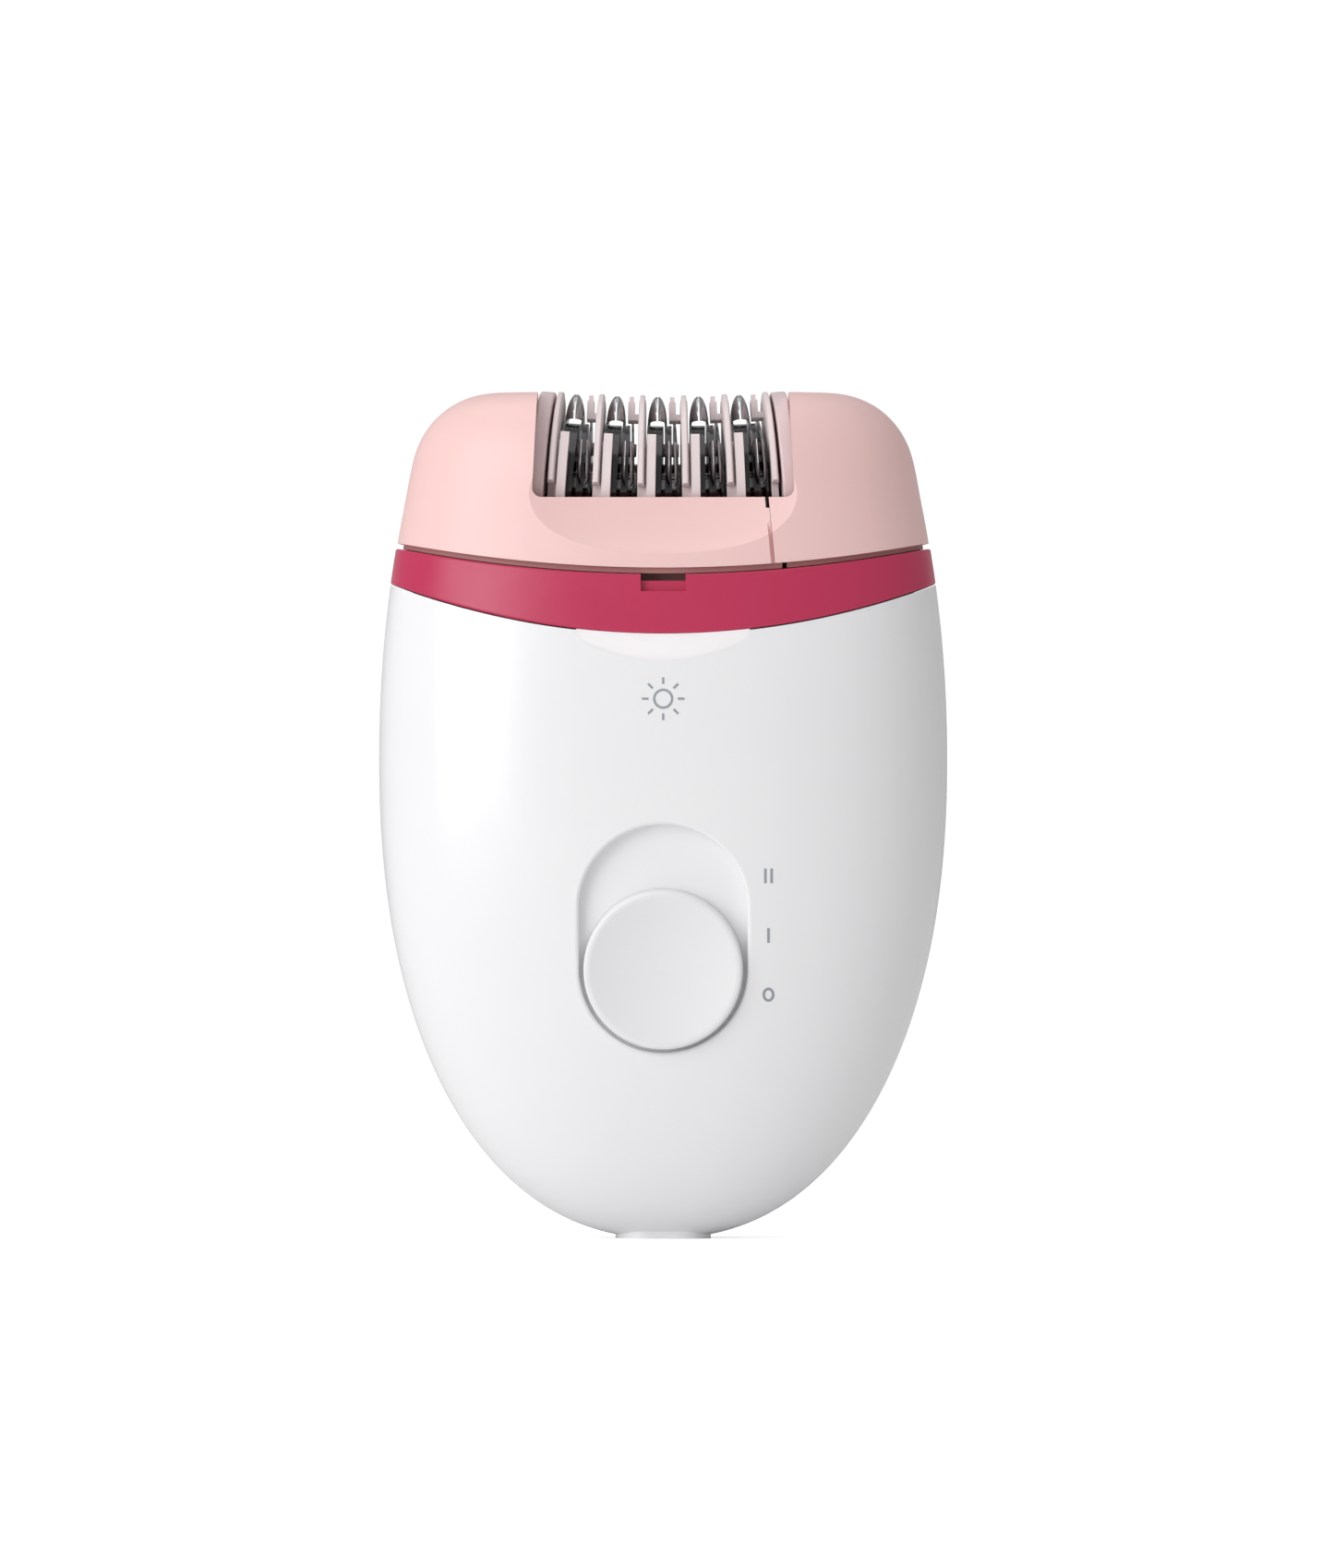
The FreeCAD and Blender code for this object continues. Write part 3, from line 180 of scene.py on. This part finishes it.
def workedMetal(name, look):
    # a metal surface with fine lines left by stamping, drawing or grinding, a little duller in blotches
    material, tree, shader = newMaterial(name)
    place = objectPlace(tree)
    stretch = addNode(tree, "ShaderNodeMapping", {"Vector": place}, {"Scale": look["lineStretch"]})
    lines = noise(tree, stretch.outputs["Vector"], look["lineMm"], 3.0, 0.6)
    blotch = noise(tree, place, look["blotchMm"], 2.0)
    colour = mixColours(tree, blotch, look["colour"], look["deepColour"])
    # painted shade: near the axle the steel turns to the dark hub colour
    if "shadedHubColour" in look:
        colour = mixColours(tree, awayFromAxle(tree, place, look), look["shadedHubColour"], colour)
    tree.links.new(colour, shader.inputs["Base Color"])
    roughen(tree, shader, lines, look["rough"] - 0.05, look["rough"] + 0.08)
    emboss(tree, shader, lines, 0.25, 0.004)
    setInputs(shader, {"Metallic": 1.0})
    return material


# painted shade: the discs' middles round the axle are given a dark colour, darker than their bare blades, for
# the shade deep between the discs
metalLooks = {
    "stampedStainlessSteel": dict(colour="#C2C0C2", deepColour="#9A989A", rough=0.14, lineMm=0.05,
                                  lineStretch=(1.0, 0.15, 1.0), blotchMm=1.5, shadedHubColour="#4A484A",
                                  axleZ=97.6, hubMm=8.4, bladeMm=9.2),
    "groundSteel": dict(colour="#B4B2B2", deepColour="#A09E9E", rough=0.22, lineMm=0.04,
                        lineStretch=(0.1, 1.0, 1.0), blotchMm=3),
    "zincPlatedSteel": dict(colour="#B5B7BA", deepColour="#A3A6AB", rough=0.3, lineMm=0.08,
                            lineStretch=(1.0, 0.3, 1.0), blotchMm=2),
    "laminatedCoreSteel": dict(colour="#85807C", deepColour="#6E6965", rough=0.4, lineMm=0.35,
                               lineStretch=(1.0, 0.02, 0.02), blotchMm=3),
    "turnedBrass": dict(colour="#D2AE6A", deepColour="#C39C57", rough=0.25, lineMm=0.06,
                        lineStretch=(1.0, 0.2, 0.2), blotchMm=2),
    "nickelPlatedBrass": dict(colour="#C8C3B8", deepColour="#B8B2A6", rough=0.2, lineMm=0.05,
                              lineStretch=(1.0, 1.0, 0.1), blotchMm=2),
}
metals = {name: workedMetal(name, look) for name, look in metalLooks.items()}
print("metals made:", len(metals))


# ---- clear acrylic ----

# painted glow: the clear acrylic is given a faint light of its own
acrylic = dict(colour="#FBF8FA", paintedGlowColour="#FFF8FA", glow=0.12, frostMm=0.5, frostStrength=0.1,
               frostDepthMm=0.01, roughest=0.2, smoothest=0.12, ior=1.49, clearness=0.15, milkiness=0.3,
               milkyRadius=(1.0, 0.9, 0.9), milkyMm=1.2)


def clearPmma(look):
    # clear moulded acrylic with a slightly frosted back, so it looks milky over the white shell, and a faint
    # painted glow that brightens it though no lamp lights it
    material, tree, shader = newMaterial("clearMouldedPmma")
    frost = noise(tree, objectPlace(tree), look["frostMm"], 2.0)
    roughen(tree, shader, frost, look["smoothest"], look["roughest"])
    emboss(tree, shader, frost, look["frostStrength"], look["frostDepthMm"])
    setInputs(shader, {"Base Color": linear(look["colour"]), "IOR": look["ior"],
                       "Transmission Weight": look["clearness"], "Emission Color": linear(look["paintedGlowColour"]),
                       "Emission Strength": look["glow"], "Subsurface Weight": look["milkiness"],
                       "Subsurface Radius": look["milkyRadius"], "Subsurface Scale": look["milkyMm"] * mm})
    return material


clear = clearPmma(acrylic)
print("acrylic made")


# ---- which piece is made of what ----

finishes = {
    "front_shell": plastics["polishedWhiteAbs"], "rear_shell": plastics["polishedWhiteAbs"],
    "collar_band": plastics["satinMagentaAbs"], "well_deck": plastics["greyGlassFilledNylon"],
    "light_window": clear, "light_led": clear, "led_board": plastics["greenFr4Board"],
    "socket_housing": plastics["greyGlassFilledNylon"], "socket_pins": metals["nickelPlatedBrass"],
    "chassis": plastics["greyGlassFilledNylon"], "motor_can": metals["zincPlatedSteel"],
    "motor_magnets": plastics["darkFerrite"], "motor_end_cap": plastics["blackPbt"],
    "armature": metals["laminatedCoreSteel"], "motor_pinion": metals["turnedBrass"],
    "compound_gear": plastics["acetalGearPom"], "compound_gear_axle": metals["groundSteel"],
    "head_idler_gear": plastics["acetalGearPom"], "idler_axle": metals["groundSteel"],
    "drive_gear": plastics["acetalGearPom"], "control_board": plastics["greenFr4Board"],
    "switch_block": plastics["blackPbt"], "switch_knob": plastics["satinWhiteKnobAbs"],
    "switch_carrier": plastics["greyGlassFilledNylon"], "release_button": plastics["satinWhiteKnobAbs"],
    "release_spring": metals["groundSteel"], "deck_screws": metals["zincPlatedSteel"],
    "chassis_screws": metals["zincPlatedSteel"], "head_screws": metals["zincPlatedSteel"],
    "head_cap": plastics["satinPinkAbs"], "head_gear_cover": plastics["satinPinkAbs"],
    "head_frame": plastics["shadedCapPinkAbs"], "curved_axle": metals["groundSteel"],
    "drum_left": plastics["drumPinkPom"], "drum_right": plastics["drumPinkPom"],
}
for name in nodes:
    if name.startswith("divider"):
        finishes[name] = plastics["paleRotorPom"]
    if name.startswith("tweezer"):
        finishes[name] = metals["stampedStainlessSteel"]
for name, material in finishes.items():
    skin = nodes[name].data.materials
    skin.clear()
    skin.append(material)
print("finishes given:", len(finishes))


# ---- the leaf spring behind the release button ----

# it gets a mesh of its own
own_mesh(nodes["release_spring"])


# ---- printed marks on the front ----

# sizes in millimetres, on the body's own curve
body = dict(height=62.6, halfWidth=37.0, depth=19.0, lowerPower=2.23, planPower=2.45, widthTaper=79.7,
            depthTaper=52.0)
ink = dict(colour="#A3A8AE", deepColour="#969BA2", flowMm=3, smudgeMm=1.2, rough=0.45, roughDrift=0.05,
           grainMm=0.08, grainStrength=0.2, grainDepthMm=0.004)
inkLayer = dict(proud=0.03, sunk=0.08)
sun = dict(z=70.1, ringRadius=1.15, rayFrom=1.9, rayTo=2.75, rays=8, stroke=0.3)
switchMarks = dict(x=13.6, barHeight=1.9, twoZ=47.25, twoApart=0.8, oneZ=39.55, noughtZ=31.9,
                   noughtHalf=(0.6, 0.75), stroke=0.35)


def bodyFront(x, z):
    # the shell's front: depth * share * (1 - |x / half| ^ planPower) ^ (1 / planPower), towards -y
    below = np.clip((body["height"] - z) / body["height"], 0, 1)
    above = np.clip(z - body["height"], 0, None)
    share = (1 - below ** body["lowerPower"]) ** (1 / body["lowerPower"])
    half = body["halfWidth"] * share * np.sqrt(1 - (above / body["widthTaper"]) ** 2)
    depth = body["depth"] * share * np.sqrt(1 - (above / body["depthTaper"]) ** 2)
    return -depth * (1 - np.abs(x / half) ** body["planPower"]) ** (1 / body["planPower"])


def stroke(path, width, closed=False):
    # a line of ink: the path offset by half a width to each side, from just over the shell to just under
    ahead = np.roll(path, -1, 0) - np.roll(path, 1, 0) if closed else np.gradient(path, axis=0)
    side = np.stack([-ahead[:, 1], ahead[:, 0]], 1) / np.linalg.norm(ahead, axis=1)[:, None] * width / 2
    corners = np.stack([path + side, path - side, path - side, path + side], 1)
    over = np.repeat([-inkLayer["proud"], inkLayer["sunk"]], 2)
    y = bodyFront(corners[..., 0], corners[..., 1]) + over
    points = np.stack([corners[..., 0], y, corners[..., 1]], -1).reshape(-1, 3)
    n = len(path)
    row = 4 * np.arange(n if closed else n - 1)[:, None]
    first = row + np.arange(4)
    second = row + (np.arange(4) + 1) % 4
    faces = np.stack([first, second, (second + 4) % (4 * n), (first + 4) % (4 * n)], -1).reshape(-1, 4)
    if not closed:
        faces = np.vstack([faces, [[3, 2, 1, 0]], np.arange(4)[None] + 4 * (n - 1)])
    return points * mm, faces


def straight(x0, z0, x1, z1, steps=6):
    t = np.linspace(0, 1, steps)[:, None]
    return (1 - t) * np.array([x0, z0]) + t * np.array([x1, z1])


def ellipse(x, z, halfX, halfZ, steps=64):
    t = np.linspace(0, 2 * math.pi, steps, endpoint=False)
    return np.stack([x + halfX * np.cos(t), z + halfZ * np.sin(t)], 1)


def printed(name, strokes, material):
    # joins the strokes into one piece, faces outward
    starts = np.cumsum([0] + [len(part[0]) for part in strokes[:-1]])
    points = np.vstack([part[0] for part in strokes])
    faces = np.vstack([part[1] + start for start, part in zip(starts, strokes)])
    mesh = bpy.data.meshes.new(name)
    mesh.from_pydata(points.tolist(), [], faces.tolist())
    turned = bmesh.new()
    turned.from_mesh(mesh)
    bmesh.ops.recalc_face_normals(turned, faces=turned.faces)
    turned.to_mesh(mesh)
    turned.free()
    mesh.materials.append(material)
    piece = bpy.data.objects.new(name, mesh)
    bpy.context.scene.collection.objects.link(piece)
    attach(piece, "housing")
    return piece


greyInk = mouldedPlastic("printedGreyInk", ink)
sunLines = []
for t in np.linspace(0, 2 * math.pi, sun["rays"], endpoint=False):
    inner = (sun["rayFrom"] * math.sin(t), sun["z"] + sun["rayFrom"] * math.cos(t))
    outer = (sun["rayTo"] * math.sin(t), sun["z"] + sun["rayTo"] * math.cos(t))
    sunLines.append(stroke(straight(*inner, *outer), sun["stroke"]))
sunLines.append(stroke(ellipse(0, sun["z"], sun["ringRadius"], sun["ringRadius"]), sun["stroke"], True))
printed("sunMark", sunLines, greyInk)

switchLines = []
for share, height in ((-0.5, "twoZ"), (0.5, "twoZ"), (0, "oneZ")):
    x, z = switchMarks["x"] + share * switchMarks["twoApart"], switchMarks[height]
    reach = switchMarks["barHeight"] / 2
    switchLines.append(stroke(straight(x, z - reach, x, z + reach), switchMarks["stroke"]))
nought = ellipse(switchMarks["x"], switchMarks["noughtZ"], *switchMarks["noughtHalf"])
switchLines.append(stroke(nought, switchMarks["stroke"], True))
printed("switchMarks", switchLines, greyInk)
print("marks printed")


# ---- floor, lights and camera ----

# sizes in metres; the floor's glow and the white world are seen by the lens only
studio = dict(floorColour="#F6F6F6", floorRough=0.9, floorGlow=0.6, world=0.43, worldSeen=1.0,
              frontY=-2.5, backY=1.6, riseZ=1.4, curveRadius=0.5, curveSteps=24, halfWidth=3.0)
softboxes = {
    "keySoftbox": dict(place=(-0.72, -0.74, 0.4), size=(0.7, 1.0), watts=6.9),
    "topSoftbox": dict(place=(-0.1, 0.0, 1.0), size=(0.9, 0.9), watts=2.2),
}
middle = Vector((0, 0, 0.06))
lens = dict(metresAway=2.0, midX=0.0005, midZ=0.0591, frameHeight=0.2041, sensorMm=24.0, clipStart=0.01)


def backdrop(look):
    # a floor that sweeps up behind: straight, then a quarter circle, then straight up, carried along x
    t = np.linspace(0, math.pi / 2, look["curveSteps"])
    bend = look["curveRadius"]
    y = np.concatenate([[look["frontY"]], look["backY"] + bend * np.sin(t), [look["backY"] + bend]])
    z = np.concatenate([[0.0], bend * (1 - np.cos(t)), [look["riseZ"]]])
    x = np.array([-look["halfWidth"], look["halfWidth"]])
    grid = np.stack([np.repeat(x, len(y)), np.tile(y, 2), np.tile(z, 2)], axis=1)
    n = len(y)
    first = np.arange(n - 1)
    faces = np.stack([first, first + n, first + n + 1, first + 1], axis=1)
    mesh = bpy.data.meshes.new("studioFloor")
    mesh.from_pydata(grid.tolist(), [], faces.tolist())
    mesh.polygons.foreach_set("use_smooth", np.ones(len(faces), bool))
    material, tree, shader = newMaterial("mattPaintedFloor")
    setInputs(shader, {"Base Color": linear(look["floorColour"]), "Roughness": look["floorRough"],
                       "Emission Color": (1, 1, 1, 1)})
    seen = addNode(tree, "ShaderNodeLightPath").outputs["Is Camera Ray"]
    glow = addNode(tree, "ShaderNodeMath", {0: seen}, {1: look["floorGlow"]}, operation="MULTIPLY")
    tree.links.new(glow.outputs[0], shader.inputs["Emission Strength"])
    mesh.materials.append(material)
    floor = bpy.data.objects.new("studioFloor", mesh)
    bpy.context.scene.collection.objects.link(floor)


def softLight(name, look):
    data = bpy.data.lights.new(name, "AREA")
    data.shape = "RECTANGLE"
    data.size, data.size_y = look["size"]
    data.energy = look["watts"]
    lamp = bpy.data.objects.new(name, data)
    lamp.location = look["place"]
    lamp.rotation_euler = (middle - Vector(look["place"])).to_track_quat("-Z", "Y").to_euler()
    bpy.context.scene.collection.objects.link(lamp)


def paleWorld(look):
    world = bpy.data.worlds.new("paleStudio")
    world.use_nodes = True
    tree = world.node_tree
    background = tree.nodes["Background"]
    background.inputs["Color"].default_value = (1, 1, 1, 1)
    seen = addNode(tree, "ShaderNodeLightPath").outputs["Is Camera Ray"]
    strength = addNode(tree, "ShaderNodeMapRange", {"Value": seen},
                       {"To Min": look["world"], "To Max": look["worldSeen"]})
    tree.links.new(strength.outputs["Result"], background.inputs["Strength"])
    bpy.context.scene.world = world


def frontCamera(look):
    # looks along +y; the lens is as long as it takes for the frame's height to fill the sensor
    eye = bpy.data.cameras.new("frontCamera")
    eye.sensor_fit = "VERTICAL"
    eye.sensor_height = look["sensorMm"]
    eye.lens = look["sensorMm"] * look["metresAway"] / look["frameHeight"]
    eye.clip_start = look["clipStart"]
    camera = bpy.data.objects.new("frontCamera", eye)
    camera.location = (look["midX"], -look["metresAway"], look["midZ"])
    camera.rotation_euler = (math.pi / 2, 0, 0)
    bpy.context.scene.collection.objects.link(camera)
    bpy.context.scene.camera = camera


backdrop(studio)
for name, look in softboxes.items():
    softLight(name, look)
paleWorld(studio)
frontCamera(lens)
bpy.context.scene.view_settings.view_transform = "Standard"
print("studio ready")
